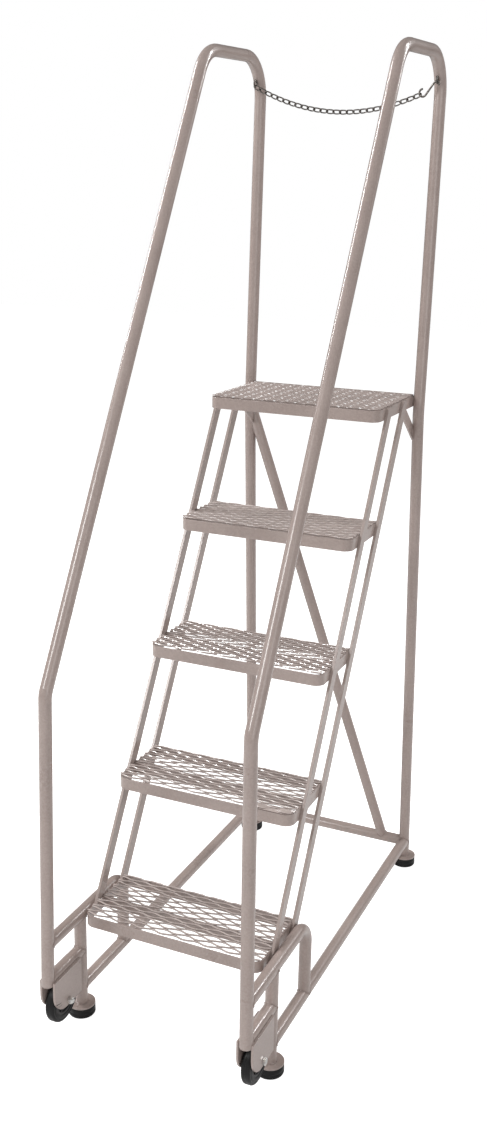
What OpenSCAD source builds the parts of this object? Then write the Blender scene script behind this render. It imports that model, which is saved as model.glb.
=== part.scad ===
// Rolling warehouse ladder: five steps, tilt-and-roll front wheels, tube side frames.
// Millimetres, +Z up, steps face -Y, origin on the floor under the middle of the ladder.

/* [Overall] */
// Outside height to the top of the handrails
overall_height = 2032; // [1900:1:2200]
// Width of every step over its side walls
step_width = 406.4; // [350:0.1:610]
// Distance from the handrail knee back to the rear legs at the platform
knee_to_rear_leg = 948.5; // [850:0.5:1050]

/* [Steps] */
// Vertical distance between two treads
step_rise = 254; // [230:1:280]
// Distance each tread sits behind the one below
step_run = 146.3; // [120:0.1:180]
// Height of the first tread above the floor
first_step_height = 260; // [240:1:280]
// Front edge of the first step behind the handrail knee
first_step_front = 99.5; // [80:0.5:130]
// Depth of the four lower steps
step_depth = 177.8; // [150:0.1:230]
// Depth of the top step
platform_depth = 266.7; // [240:0.1:400]
// Height of the bent band around each step
band_height = 25.4; // [20:0.1:40]
// Thickness of the band steel
band_thickness = 3.2; // [2:0.1:5]
// Outside radius of the two front corners
band_corner = 22; // [12:1:40]
// Overall thickness of the expanded metal tread
tread_thickness = 4.5; // [2:0.1:6]
// Long pitch of the diamond openings in the tread
opening_pitch_x = 50.8; // [40:0.1:90]
// Short pitch of the diamond openings in the tread
opening_pitch_y = 22; // [16:0.1:40]
// Steel left between two openings, measured along the short pitch
strand_width = 3.4; // [2.5:0.1:8]
// Sideways shift of the diamond pattern
opening_shift_x = 4.6; // [0:0.1:25]
// First row of openings behind the front edge of a step
opening_first_row = 25.3; // [20:0.1:36]

/* [Side frames] */
// Outside diameter of the frame tubes
tube_diameter = 26.7; // [22:0.1:34]
// Wall of the frame tubes
tube_wall = 2.1; // [1.5:0.1:3]
// Height of the knee where the handrail leaves the front leg
knee_height = 789; // [700:1:900]
// Angle of the sloped handrail above the floor plane
rail_angle = 61; // [55:0.1:68]
// Centreline radius of the front bend at the top of the handrail
front_bend_radius = 96; // [60:1:120]
// Centreline radius of the rear bend at the top of the handrail
rear_bend_radius = 84; // [60:1:120]
// Centreline radius of the bend at the handrail knee
knee_radius = 45; // [30:1:90]
// Upward tilt of the top of the handrail towards the rear
top_tilt = 1.9; // [0:0.1:4]
// Forward lean of the front leg towards the floor
front_lean = 0.9; // [0:0.1:3]
// Height of the shallow bend in the rear leg under the platform
rear_bend_height = 1231; // [1150:1:1260]
// Rearward lean of the rear leg below that bend
rear_lean_low = 4.0; // [0:0.1:6]
// Rearward lean of the rear leg above that bend
rear_lean_top = 2.05; // [0:0.05:4]
// Distance from the end of the rear bend down to the slip joint on the rear leg
slip_joint_drop = 5; // [2:1:60]
// Lower end of the front leg above the floor
front_leg_end = 147; // [140:1:160]

/* [Base] */
// Height of the base rails and the rear crossbar
base_rail_height = 66.7; // [55:0.1:90]
// Height of the bent support tube beside the first step
support_height = 242; // [225:1:260]
// Rear drop of the bent support tube behind the handrail knee
support_drop_y = 300; // [280:1:340]
// Centreline radius of the bent support tube
support_radius = 48; // [40:1:70]
// Front foot leg behind the handrail knee
foot_leg_y = 117; // [105:0.5:130]
// Height of the short tube that carries the wheel
wheel_tube_height = 156; // [150:0.5:165]
// Outside diameter of the diagonal brace
brace_diameter = 25.4; // [20:0.1:32]
// Where the diagonal brace lands on the crossbar, measured from the middle
brace_foot_x = 162; // [100:1:180]

/* [Stringers and gussets] */
// Thickness of the flat bar stringers
stringer_thickness = 6.35; // [4:0.05:10]
// Width of the flat bar stringers
stringer_width = 25.4; // [15:0.1:32]
// Front stringer behind the front edge of a step at band level
stringer_front_offset = 63.7; // [50:0.1:80]
// Distance between the front and the rear stringer
stringer_spacing = 110; // [95:0.5:130]
// Width of the flat gusset strips under the platform
gusset_width = 25.4; // [15:0.1:40]
// Thickness of the gusset strips
gusset_thickness = 4; // [3:0.1:8]

/* [Wheels and feet] */
// Wheel diameter
wheel_diameter = 100; // [75:1:102]
// Width of the wheel tread
wheel_width = 20; // [16:0.5:23]
// Height of the wheel axle
axle_height = 86; // [80:0.5:88]
// Wheel axle behind the handrail knee
axle_y = 38; // [34:0.5:40]
// Diameter of the axle bolt
axle_diameter = 9.525; // [8:0.005:12]
// Radial running clearance of the wheel bore
axle_clearance = 0.05; // [0.02:0.01:0.1]
// Thickness of the wheel plates
plate_thickness = 4.76; // [3:0.01:6]
// Diameter of the rubber feet and the steel discs on them
foot_diameter = 59; // [50:0.5:70]
// Height of the rubber feet
pad_height = 22.6; // [15:0.1:30]
// Thickness of the steel disc on each foot
disc_thickness = 3; // [2:0.1:5]

/* [Safety chain] */
// Height of the two chain eyes
eye_height = 1963.5; // [1955:0.5:1968]
// Wire diameter of the eyes
eye_wire = 4; // [3:0.1:5]
// Middle radius of the eye rings
eye_radius = 7; // [6.8:0.1:9]
// Wire thickness of the chain links
link_wire = 3; // [2:0.1:3.2]
// Clear width inside a link
link_clear = 5; // [4.8:0.1:7]
// Distance between two link centres
link_pitch = 15.92; // [15:0.01:16]
// Wire diameter of the hook
hook_wire = 4.4; // [3:0.1:4.5]

/* [Hidden] */
$fn = 48;

tube_r = tube_diameter / 2;
// Straights reach this far into each bend, and a bend's wall is this much thicker each way, so that the
// two fuse into one solid.
bend_lap = 0.8;
bend_skin = 0.1;
half_step = step_width / 2;
// Side frame planes: the base passes outside the stringers, the upper frame lies on the step walls.
base_x = half_step + stringer_thickness + tube_r + bend_skin;
upper_x = half_step + tube_r;
step_count = 5;

// Rear leg points.
rear_bend_y = knee_to_rear_leg;
function rear_y_low(z) = rear_bend_y + (rear_bend_height - z) * tan(rear_lean_low);
function rear_y_top(z) = rear_bend_y + (z - rear_bend_height) * tan(rear_lean_top);
function rear_x_low(z) =
    upper_x + (base_x - upper_x) * (rear_bend_height - z) / (rear_bend_height - base_rail_height);
rear_bend_angle = 90 + top_tilt + rear_lean_top;
top_apex_z =
    overall_height - tube_r - bend_skin
    + rear_bend_radius * (tan(rear_bend_angle / 2) * sin(top_tilt) + cos(top_tilt) - 1);
rear_apex = [upper_x, rear_y_top(top_apex_z), top_apex_z];
knee = [upper_x, 0, knee_height];
// Front apex: where the sloped rail meets the top line.
rise_ratio = tan(rail_angle);
top_ratio = tan(top_tilt);
front_apex_y = (rear_apex.z - knee_height - rear_apex.y * top_ratio) / (rise_ratio - top_ratio);
front_apex = [upper_x, front_apex_y, knee_height + front_apex_y * rise_ratio];

// Front leg line, from the knee to the support tube and on down to its end.
function front_leg(z) = [
    upper_x + (base_x - upper_x) * (knee_height - z) / (knee_height - support_height),
    -(knee_height - z) * tan(front_lean),
    z
];
foot_front = [base_x, foot_leg_y];
foot_rear = [rear_x_low(pad_height), rear_y_low(pad_height)];
leg_bottom = pad_height + disc_thickness;

// The origin sits halfway between the front leg's front and the rear foot's back.
front_extent = front_leg(front_leg_end).y - tube_r;
rear_extent = foot_rear.y + foot_diameter / 2;
mid_y = (front_extent + rear_extent) / 2;

plate_front = -14;
plate_rear = 90;
plate_bottom = 75;
plate_corner = 46;
plate_hole_r = 5;
bore_r = axle_diameter / 2 + axle_clearance;
washer_t = 1.5;
hub_side_gap = 0.1;
hub_width = tube_diameter - 2 * washer_t - 2 * hub_side_gap;
nut_height = 8.3;
bolt_head = 6.2;
bolt_tail = 3;
hex_r = 8.25;

run_angle = atan2(step_rise, step_run);

steel = [0.66, 0.60, 0.57];
zinc = [0.78, 0.78, 0.76];
black = [0.08, 0.08, 0.08];
chain_steel = [0.42, 0.39, 0.36];

// ---------- helpers ----------

function unit(v) = v / norm(v);
function turn(a, b, c) = acos(min(1, max(-1, unit(b - a) * unit(c - b))));

module place() {
    translate([0, -mid_y, 0]) children();
}

module mirror_side(side) {
    if (side < 0) mirror([1, 0, 0]) children();
    else children();
}

// Puts a shape that stands on Z along the line from p to q.
module along(p, q) {
    v = q - p;
    translate(p) rotate([0, acos(v.z / norm(v)), atan2(v.y, v.x)]) children();
}

module rod(p, q, r) {
    along(p, q) cylinder(h = norm(q - p), r = r);
}

// A straight tube. Its long seam can be rolled round the axis, clear of a cut.
module pipe(p, q, r, wall, seam = 0) {
    len = norm(q - p);
    along(p, q) rotate([0, 0, seam]) difference() {
        cylinder(h = len, r = r);
        translate([0, 0, -1]) cylinder(h = len + 2, r = r - wall);
    }
}

// A bend at b, between the lines a-b and b-c.
module elbow(a, b, c, radius, r, wall) {
    phi = turn(a, b, c);
    u = unit(b - a);
    n = unit(cross(u, unit(c - b)));
    start = b - u * radius * tan(phi / 2);
    out = unit(cross(u, n));
    centre = start - out * radius;
    multmatrix([
        [out.x, u.x, n.x, centre.x],
        [out.y, u.y, n.y, centre.y],
        [out.z, u.z, n.z, centre.z],
        [0, 0, 0, 1]
    ]) rotate_extrude(angle = phi) translate([radius, 0]) difference() {
        circle(r = r);
        circle(r = r - wall);
    }
}

// A round tube through the given points, with a bend of the given radius at each inner point.
module bent_tube(points, radius, r, wall) {
    last = len(points) - 1;
    trims = [
        for (i = [0:last])
            (i == 0 || i == last)
                ? 0
                : radius[i] * tan(turn(points[i - 1], points[i], points[i + 1]) / 2) - bend_lap
    ];
    union() {
        for (i = [0:last - 1]) {
            d = unit(points[i + 1] - points[i]);
            p = points[i] + d * trims[i];
            q = points[i + 1] - d * trims[i + 1];
            pipe(p, q, r, wall);
        }
        for (i = [1:last - 1])
            elbow(
                points[i - 1],
                points[i],
                points[i + 1],
                radius[i],
                r + bend_skin,
                wall + 2 * bend_skin
            );
    }
}

// ---------- side frames ----------

bend_end_z = rear_apex.z - rear_bend_radius * tan(rear_bend_angle / 2) * cos(rear_lean_top);
slip_joint_z = bend_end_z - slip_joint_drop;
handrail_end = [upper_x, rear_y_top(slip_joint_z), slip_joint_z];
handrail_points = [front_leg(front_leg_end), knee, front_apex, rear_apex, handrail_end];
handrail_radii = [0, knee_radius, front_bend_radius, rear_bend_radius, 0];
rear_bend_point = [upper_x, rear_bend_y, rear_bend_height];
leg_cut = 40;
seam_roll = 50;
rear_leg_low = [rear_x_low(-leg_cut), rear_y_low(-leg_cut), -leg_cut];
rear_knee_radius = 250;
// The end of the handrail is a reduced spigot that slips down into the rear leg.
spigot_gap = 0.2;
slip_gap = 0.05;
spigot_r = tube_r - tube_wall - spigot_gap;
spigot_down = 40;
spigot_weld = 0.5;
// The eye bolt crosses the lower part of the rear handrail bend, which curves forward there.
bend_centre_y = rear_y_top(bend_end_z) - rear_bend_radius * cos(rear_lean_top);
bend_centre_z = bend_end_z + rear_bend_radius * sin(rear_lean_top);
eye_rise = eye_height - bend_centre_z;
eye_outer = eye_radius + eye_wire / 2;
eye_gap = 0.4;
eye_nut_r = 5;
eye_nut_h = 4;
bend_inside = rear_bend_radius - tube_r - bend_skin;
bend_outside = rear_bend_radius + tube_r + bend_skin;
// The ring clears the inside of the bend, and the nut clears the outside.
eye_y = bend_centre_y + sqrt(pow(bend_inside - eye_outer - eye_gap, 2) - pow(eye_rise, 2));
eye_nut_y = bend_centre_y + sqrt(pow(bend_outside, 2) - pow(eye_rise - eye_nut_r, 2)) + eye_gap;
eye_hole_r = eye_wire / 2 + 0.1;

module eye_shank_hole() {
    translate([upper_x, eye_y, eye_height]) rotate([-90, 0, 0]) cylinder(h = 80, r = eye_hole_r);
}

module handrail(side) {
    up = unit(handrail_end - rear_bend_point);
    color(steel) place() mirror_side(side) difference() {
        union() {
            bent_tube(handrail_points, handrail_radii, tube_r, tube_wall);
            pipe(
                handrail_end + up,
                handrail_end + 4 * up,
                spigot_r + spigot_weld,
                tube_wall + spigot_weld
            );
            pipe(handrail_end - spigot_down * up, handrail_end + 3 * up, spigot_r, tube_wall);
        }
        eye_shank_hole();
    }
}

// Rear leg: a long lower straight with its end cut level, a shallow bend and the upper straight.
module rear_leg(side) {
    trim = rear_knee_radius * tan(turn(rear_leg_low, rear_bend_point, handrail_end) / 2) - bend_lap;
    down = unit(rear_leg_low - rear_bend_point);
    up = unit(handrail_end - rear_bend_point);
    color(steel) place() mirror_side(side) union() {
        difference() {
            pipe(rear_leg_low, rear_bend_point + down * trim, tube_r, tube_wall, seam_roll);
            translate([0, rear_bend_y, leg_bottom - 100]) cube([600, 600, 200], center = true);
        }
        elbow(
            rear_leg_low,
            rear_bend_point,
            handrail_end,
            rear_knee_radius,
            tube_r + bend_skin,
            tube_wall + 2 * bend_skin
        );
        pipe(rear_bend_point + up * trim, handrail_end - slip_gap * up, tube_r, tube_wall, seam_roll);
    }
}

module front_leg_solid() {
    rod(front_leg(front_leg_end), knee, tube_r);
}

module rear_leg_solid() {
    rod(rear_leg_low, rear_bend_point, tube_r);
}

// Coped tubes start this far off the axis of the tube they are welded to.
cope_start = 0.5;
support_front = [base_x, front_leg(support_height).y + cope_start, support_height];
support_corner = [base_x, support_drop_y, support_height];
support_end = [base_x, support_drop_y, base_rail_height + cope_start];

// Bent support tube: from the front leg back beside step 1, then down to the base rail.
module step_support(side) {
    color(steel) place() mirror_side(side) difference() {
        bent_tube(
            [support_front, support_corner, support_end],
            [0, support_radius, 0],
            tube_r,
            tube_wall
        );
        front_leg_solid();
        rod([base_x, 200, base_rail_height], [base_x, 400, base_rail_height], tube_r);
    }
}

module front_foot_leg(side) {
    color(steel) place() mirror_side(side) difference() {
        pipe(
            [base_x, foot_leg_y, leg_bottom],
            [base_x, foot_leg_y, support_height - cope_start],
            tube_r,
            tube_wall
        );
        rod([base_x, 0, support_height], [base_x, 240, support_height], tube_r);
    }
}

module wheel_mount_tube(side) {
    start_y = front_leg(wheel_tube_height).y + cope_start;
    color(steel) place() mirror_side(side) difference() {
        pipe(
            [base_x, start_y, wheel_tube_height],
            [base_x, foot_leg_y - cope_start, wheel_tube_height],
            tube_r,
            tube_wall
        );
        front_leg_solid();
        rod([base_x, foot_leg_y, 100], [base_x, foot_leg_y, 220], tube_r);
    }
}

module base_rail(side) {
    color(steel) place() mirror_side(side) difference() {
        pipe(
            [base_x, foot_leg_y + cope_start, base_rail_height],
            [base_x, rear_y_low(base_rail_height) - cope_start, base_rail_height],
            tube_r,
            tube_wall
        );
        rod([base_x, foot_leg_y, 0], [base_x, foot_leg_y, 120], tube_r);
        rear_leg_solid();
    }
}

module base_rail_solid() {
    rod(
        [base_x, foot_leg_y + 400, base_rail_height],
        [base_x, rear_y_low(base_rail_height), base_rail_height],
        tube_r
    );
}

crossbar_y = rear_y_low(base_rail_height);

module rear_crossbar() {
    color(steel) place() difference() {
        pipe(
            [-base_x + cope_start, crossbar_y, base_rail_height],
            [base_x - cope_start, crossbar_y, base_rail_height],
            tube_r,
            tube_wall
        );
        for (side = [-1, 1]) mirror_side(side) {
            rear_leg_solid();
            base_rail_solid();
        }
    }
}

brace_top_z = 1222;
brace_top = [-rear_x_low(brace_top_z), rear_y_low(brace_top_z), brace_top_z];
brace_foot = [brace_foot_x, crossbar_y, base_rail_height];
brace_r = brace_diameter / 2;
brace_gap = 0.5;

module diagonal_brace() {
    color(steel) place() difference() {
        pipe(brace_top, brace_foot, brace_r, tube_wall);
        mirror([1, 0, 0]) {
            rod(rear_leg_low, rear_bend_point, tube_r + brace_gap);
            rod(rear_bend_point, handrail_end, tube_r + brace_gap);
        }
        rod(
            [brace_foot_x - 100, crossbar_y, base_rail_height],
            [brace_foot_x + 60, crossbar_y, base_rail_height],
            tube_r
        );
    }
}

// ---------- stringers and gussets ----------

function step_top(i) = first_step_height + step_rise * i;
function step_front(i) = first_step_front + step_run * i;
band_top_0 = first_step_height - tread_thickness;
band_mid_0 = band_top_0 - band_height / 2;
stringer_low = band_top_0 - band_height;
stringer_high = step_top(step_count - 1) - tread_thickness;

stringer_slope = step_run / step_rise;
stringer_half_y = stringer_width / 2 / sin(run_angle);
function stringer_y(offset, z) = first_step_front + offset + (z - band_mid_0) * stringer_slope;

module stringer(side, offset) {
    half_y = stringer_half_y;
    y0 = stringer_y(offset, stringer_low);
    y1 = stringer_y(offset, stringer_high);
    color(steel) place() mirror_side(side)
        translate([half_step, 0, 0]) rotate([90, 0, 90]) linear_extrude(height = stringer_thickness)
            polygon([
                [y0 - half_y, stringer_low],
                [y0 + half_y, stringer_low],
                [y1 + half_y, stringer_high],
                [y1 - half_y, stringer_high]
            ]);
}

platform_band_bottom = step_top(step_count - 1) - tread_thickness - band_height;
// The middle line of a gusset leaves the bottom of the platform band at gusset_top_y.
gusset_top_y = 862;
gusset_end_y = 948;
gusset_drop = 0.75;
gusset_lap = 14;
weld_gap = 0.3;

// Flat strip from the outside of the platform band, behind the rear stringer, down to the leg.
module platform_gusset(side) {
    half_z = gusset_width / 2 * sqrt(1 + gusset_drop * gusset_drop);
    start_z = platform_band_bottom + gusset_lap;
    end_z = platform_band_bottom - (gusset_end_y - gusset_top_y) * gusset_drop;
    lap_y = gusset_top_y - gusset_lap / gusset_drop;
    rear = stringer_front_offset + stringer_spacing;
    low_cut = end_z - gusset_width;
    edge = stringer_half_y + weld_gap;
    color(steel) place() difference() {
        mirror_side(side)
            translate([half_step, 0, 0]) rotate([90, 0, 90])
                linear_extrude(height = gusset_thickness) difference() {
                    polygon([
                        [lap_y - half_z / gusset_drop, start_z],
                        [lap_y + half_z / gusset_drop, start_z],
                        [gusset_end_y, end_z + half_z],
                        [gusset_end_y, end_z - half_z]
                    ]);
                    polygon([
                        [stringer_y(rear, low_cut) - 4 * edge, low_cut],
                        [stringer_y(rear, low_cut) + edge, low_cut],
                        [stringer_y(rear, start_z + 5) + edge, start_z + 5],
                        [stringer_y(rear, start_z + 5) - 4 * edge, start_z + 5]
                    ]);
                }
        rod(brace_top, brace_foot, brace_r);
        mirror_side(side) rear_leg_solid();
    }
}

// ---------- steps ----------

module band_outline(depth, inset) {
    r = band_corner - inset;
    w = half_step - inset;
    difference() {
        union() {
            translate([-w, inset + r]) square([2 * w, depth - 2 * inset - r]);
            translate([-w + r, inset]) square([2 * w - 2 * r, r + 1]);
            for (x = [-w + r, w - r]) translate([x, inset + r]) circle(r = r);
        }
        translate([-w - 10, depth - inset]) square([2 * w + 20, 40]);
    }
}

module step_frame(i, depth) {
    color(steel) place()
        translate([0, step_front(i), step_top(i) - tread_thickness - band_height])
            linear_extrude(height = band_height) difference() {
                band_outline(depth, 0);
                band_outline(depth, band_thickness);
            }
}

tread_edge = 8;

module diamond(x, y) {
    half_x = opening_pitch_x / 2 - strand_width * 0.9;
    half_y = opening_pitch_y / 2 - strand_width / 2;
    translate([x, y]) polygon([[-half_x, 0], [0, -half_y], [half_x, 0], [0, half_y]]);
}

// Tread sheet with rows of diamond openings. Every second row sits half a long pitch to the side, and
// only whole openings are cut. The sheet is flat, where real expanded metal has raised, tilted strands.
module step_tread(i, depth) {
    row_pitch = opening_pitch_y / 2;
    rows = floor((depth - tread_edge - opening_first_row) / row_pitch);
    columns = ceil(step_width / opening_pitch_x);
    reach = half_step - tread_edge - opening_pitch_x / 2 + strand_width * 0.9;
    color(steel) place() translate([0, step_front(i), step_top(i) - tread_thickness])
        linear_extrude(height = tread_thickness) difference() {
            band_outline(depth, 0);
            for (b = [0:rows - 1]) for (a = [-columns:columns]) {
                x = opening_shift_x + (a + (b % 2) / 2) * opening_pitch_x;
                if (abs(x) < reach) diamond(x, opening_first_row + b * row_pitch);
            }
        }
}

stiffener_height = band_height;
stiffener_shift = 6.5;

// Flat bar across the middle of a step, just ahead of half depth.
module step_stiffener(i, depth) {
    inner = half_step - band_thickness;
    color(steel) place()
        translate([
            -inner,
            step_front(i) + depth / 2 - stiffener_shift,
            step_top(i) - tread_thickness - stiffener_height
        ]) cube([2 * inner, band_thickness, stiffener_height]);
}

// ---------- wheels ----------

module wheel_plate(side, inward) {
    inner_x = base_x + (inward > 0 ? -tube_r - plate_thickness : tube_r);
    color(steel) place() mirror_side(side) difference() {
        translate([inner_x, 0, 0]) rotate([90, 0, 90]) linear_extrude(height = plate_thickness)
            difference() {
                translate([plate_front, plate_bottom])
                    square([plate_rear - plate_front, wheel_tube_height - plate_bottom]);
                // The lower front corner is rounded off.
                difference() {
                    translate([plate_front - 1, plate_bottom - 1]) square(plate_corner + 1);
                    translate([plate_front + plate_corner, plate_bottom + plate_corner])
                        circle(r = plate_corner);
                }
                translate([axle_y, axle_height]) circle(r = plate_hole_r);
            }
        front_leg_solid();
    }
}

module at_axle(side) {
    place() mirror_side(side) translate([base_x, axle_y, axle_height]) rotate([0, 90, 0]) children();
}

tyre_inner_r = 33;
tyre_shoulder = 5;

module wheel_tyre(side) {
    outer = wheel_diameter / 2;
    half = wheel_width / 2;
    color(black) at_axle(side) rotate_extrude($fn = 72) difference() {
        union() {
            translate([tyre_inner_r, -half])
                square([outer - tyre_shoulder - tyre_inner_r, wheel_width]);
            translate([outer - tyre_shoulder - 1, -half + tyre_shoulder])
                square([tyre_shoulder + 1, wheel_width - 2 * tyre_shoulder]);
            for (s = [-1, 1])
                translate([outer - tyre_shoulder, s * (half - tyre_shoulder)])
                    circle(r = tyre_shoulder, $fn = 32);
        }
    }
}

module wheel_hub(side) {
    half = hub_width / 2;
    color(black) at_axle(side) rotate_extrude($fn = 72) polygon([
        [bore_r, -half],
        [13, -half],
        [14.5, -5],
        [28, -5],
        [29, -8.5],
        [tyre_inner_r, -8.5],
        [tyre_inner_r, 8.5],
        [29, 8.5],
        [28, 5],
        [14.5, 5],
        [13, half],
        [bore_r, half]
    ]);
}

stack = tube_r + plate_thickness;

module axle_bolts() {
    color(zinc) for (side = [-1, 1]) at_axle(side) {
        translate([0, 0, -stack - nut_height - bolt_tail])
            cylinder(h = 2 * stack + nut_height + bolt_tail, r = axle_diameter / 2);
        translate([0, 0, stack]) cylinder(h = bolt_head, r = hex_r, $fn = 6);
    }
}

module axle_nuts() {
    color(zinc) for (side = [-1, 1]) at_axle(side)
        translate([0, 0, -stack - nut_height]) difference() {
            cylinder(h = nut_height, r = hex_r, $fn = 6);
            translate([0, 0, -1]) cylinder(h = nut_height + 2, r = axle_diameter / 2 + 0.02);
        }
}

module axle_washers() {
    color(zinc) for (side = [-1, 1]) at_axle(side)
        for (z = [-tube_r, tube_r - washer_t]) translate([0, 0, z]) difference() {
            cylinder(h = washer_t, r = 11);
            translate([0, 0, -1]) cylinder(h = washer_t + 2, r = axle_diameter / 2 + 0.1);
        }
}

// ---------- feet ----------

module at_foot(side, rear) {
    spot = rear ? foot_rear : foot_front;
    place() mirror_side(side) translate([spot.x, spot.y, 0]) children();
}

module foot_disc(side, rear) {
    color(steel) at_foot(side, rear) translate([0, 0, pad_height])
        cylinder(h = disc_thickness, d = foot_diameter);
}

pad_chamfer = 1.5;

module foot_pad(side, rear) {
    color(black) at_foot(side, rear) {
        cylinder(h = pad_chamfer, d1 = foot_diameter - 2 * pad_chamfer, d2 = foot_diameter);
        translate([0, 0, pad_chamfer]) cylinder(h = pad_height - pad_chamfer, d = foot_diameter);
    }
}

rivet_offset = 21;

module foot_rivets() {
    color(steel) for (side = [-1, 1]) for (rear = [false, true]) at_foot(side, rear)
        translate([0, -rivet_offset, leg_bottom]) cylinder(h = 1.6, r = 2.6);
}

// ---------- safety chain ----------

eye_x = upper_x;
wire_low = eye_height - eye_radius;

module chain_eyes() {
    color(zinc) for (side = [-1, 1]) place() mirror_side(side)
        translate([eye_x, eye_y, eye_height]) {
            rotate([0, 90, 0]) rotate_extrude($fn = 48) translate([eye_radius, 0])
                circle(r = eye_wire / 2, $fn = 24);
            translate([0, eye_radius, 0]) rotate([-90, 0, 0])
                cylinder(h = eye_nut_y + eye_nut_h + 2 - eye_y - eye_radius, r = eye_wire / 2);
        }
}

module chain_eye_nuts() {
    color(zinc) for (side = [-1, 1]) place() mirror_side(side)
        translate([eye_x, eye_nut_y, eye_height]) rotate([-90, 0, 0]) difference() {
            cylinder(h = eye_nut_h, r = eye_nut_r, $fn = 6);
            translate([0, 0, -1]) cylinder(h = eye_nut_h + 2, r = eye_wire / 2 + 0.02);
        }
}

// The chain hangs in a shallow curve between the left eye and the hook.
link_count = 26;
gap = 0.06;
chain_x0 = -eye_x - eye_wire / 2 - 2 * gap;
chain_z0 = wire_low + 0.9;
chain_x1 = 180.5;
chain_z1 = 1933.9;
chain_bow = 0.001155;
function chain_z(x) =
    chain_z0 + (chain_z1 - chain_z0) * (x - chain_x0) / (chain_x1 - chain_x0)
    + chain_bow * (x - chain_x0) * (x - chain_x1);
function chain_slope(x) =
    (chain_z1 - chain_z0) / (chain_x1 - chain_x0) + chain_bow * (2 * x - chain_x0 - chain_x1);
function chain_next(x) =
    x + link_pitch / sqrt(1 + pow(chain_slope(x + link_pitch / 2 * 0.98), 2));
function chain_x(i) = i == 0 ? chain_x0 : chain_next(chain_x(i - 1));

// Straights of bent wire reach this far into the bends and are this much thinner.
wire_lap = 0.15;
wire_skin = 0.02;
link_r = link_wire / 2;
link_bend = link_clear / 2 + link_r;
link_straight = link_pitch + 2 * gap - link_clear;

// One oval link of round wire, lying flat before it is rolled about its length.
module link(roll) {
    rotate([roll, 0, 0]) {
        for (s = [-1, 1]) {
            translate([s * link_straight / 2, 0, 0]) rotate([0, 0, -90 * s])
                rotate_extrude(angle = 180, $fn = 32) translate([link_bend, 0])
                    circle(r = link_r, $fn = 16);
            translate([-link_straight / 2 - wire_lap, s * link_bend, 0]) rotate([0, 90, 0])
                cylinder(h = link_straight + 2 * wire_lap, r = link_r - wire_skin, $fn = 16);
        }
    }
}

module chain_links() {
    color(chain_steel) place() for (i = [0:link_count - 1]) {
        a = chain_x(i);
        b = chain_x(i + 1);
        tilt = atan2(chain_z(b) - chain_z(a), b - a);
        translate([(a + b) / 2, eye_y, (chain_z(a) + chain_z(b)) / 2])
            rotate([0, -tilt, 0]) link(i % 2 == 0 ? 90 : 0);
    }
}

hook_low_r = 8;
hook_top_r = 5.5;
hook_r = hook_wire / 2;

module hook_arc(radius, from, sweep) {
    rotate([0, 0, from]) rotate_extrude(angle = sweep) translate([radius, 0])
        circle(r = hook_r, $fn = 24);
}

// S-shaped hook: the low loop carries the last link, the top loop rests in the right eye.
module chain_hook() {
    ex = chain_x(link_count);
    ez = chain_z(ex);
    lead = atan(chain_slope(ex));
    hold_gap = hook_r + 2 * gap;
    hold = [ex - hold_gap * cos(lead), ez - hold_gap * sin(lead)];
    ring = [eye_x, wire_low];
    aim = unit(ring - hold);
    low = hold + aim * hook_low_r;
    top = ring - aim * (hook_top_r - hook_r - eye_wire / 2 - gap);
    span = norm(top - low);
    heading = atan2(aim.y, aim.x);
    cross_angle = asin((hook_low_r + hook_top_r) / span);
    shank = sqrt(span * span - pow(hook_low_r + hook_top_r, 2));
    color(chain_steel) place() translate([low.x, eye_y, low.y]) rotate([90, 0, 0])
        rotate([0, 0, heading]) {
            hook_arc(hook_low_r, 62, 208 + cross_angle);
            rotate([0, 0, cross_angle]) translate([-wire_lap, -hook_low_r, 0])
                rotate([0, 90, 0])
                    cylinder(h = shank + 2 * wire_lap, r = hook_r - wire_skin, $fn = 24);
            translate([span, 0, 0]) hook_arc(hook_top_r, -70, 160 + cross_angle);
        }
}

// ---------- nodes ----------

handrail(-1);  // handrail_left
handrail(1);  // handrail_right
rear_leg(-1);  // rear_leg_left
rear_leg(1);  // rear_leg_right
step_support(-1);  // step_support_left
step_support(1);  // step_support_right
front_foot_leg(-1);  // front_foot_leg_left
front_foot_leg(1);  // front_foot_leg_right
wheel_mount_tube(-1);  // wheel_mount_tube_left
wheel_mount_tube(1);  // wheel_mount_tube_right
base_rail(-1);  // base_rail_left
base_rail(1);  // base_rail_right
rear_crossbar();
diagonal_brace();
stringer(-1, stringer_front_offset);  // stringer_front_left
stringer(-1, stringer_front_offset + stringer_spacing);  // stringer_rear_left
stringer(1, stringer_front_offset);  // stringer_front_right
stringer(1, stringer_front_offset + stringer_spacing);  // stringer_rear_right
platform_gusset(-1);  // platform_gusset_left
platform_gusset(1);  // platform_gusset_right
step_frame(0, step_depth);  // step_frame_1
step_frame(1, step_depth);  // step_frame_2
step_frame(2, step_depth);  // step_frame_3
step_frame(3, step_depth);  // step_frame_4
step_frame(4, platform_depth);  // platform_frame
step_tread(0, step_depth);  // step_tread_1
step_tread(1, step_depth);  // step_tread_2
step_tread(2, step_depth);  // step_tread_3
step_tread(3, step_depth);  // step_tread_4
step_tread(4, platform_depth);  // platform_tread
step_stiffener(0, step_depth);  // step_stiffener_1
step_stiffener(1, step_depth);  // step_stiffener_2
step_stiffener(2, step_depth);  // step_stiffener_3
step_stiffener(3, step_depth);  // step_stiffener_4
step_stiffener(4, platform_depth);  // platform_stiffener
wheel_plate(-1, 1);  // wheel_plate_inner_left
wheel_plate(-1, -1);  // wheel_plate_outer_left
wheel_plate(1, 1);  // wheel_plate_inner_right
wheel_plate(1, -1);  // wheel_plate_outer_right
wheel_tyre(-1);  // wheel_tyre_left
wheel_hub(-1);  // wheel_hub_left
wheel_tyre(1);  // wheel_tyre_right
wheel_hub(1);  // wheel_hub_right
axle_bolts();
axle_nuts();
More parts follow.
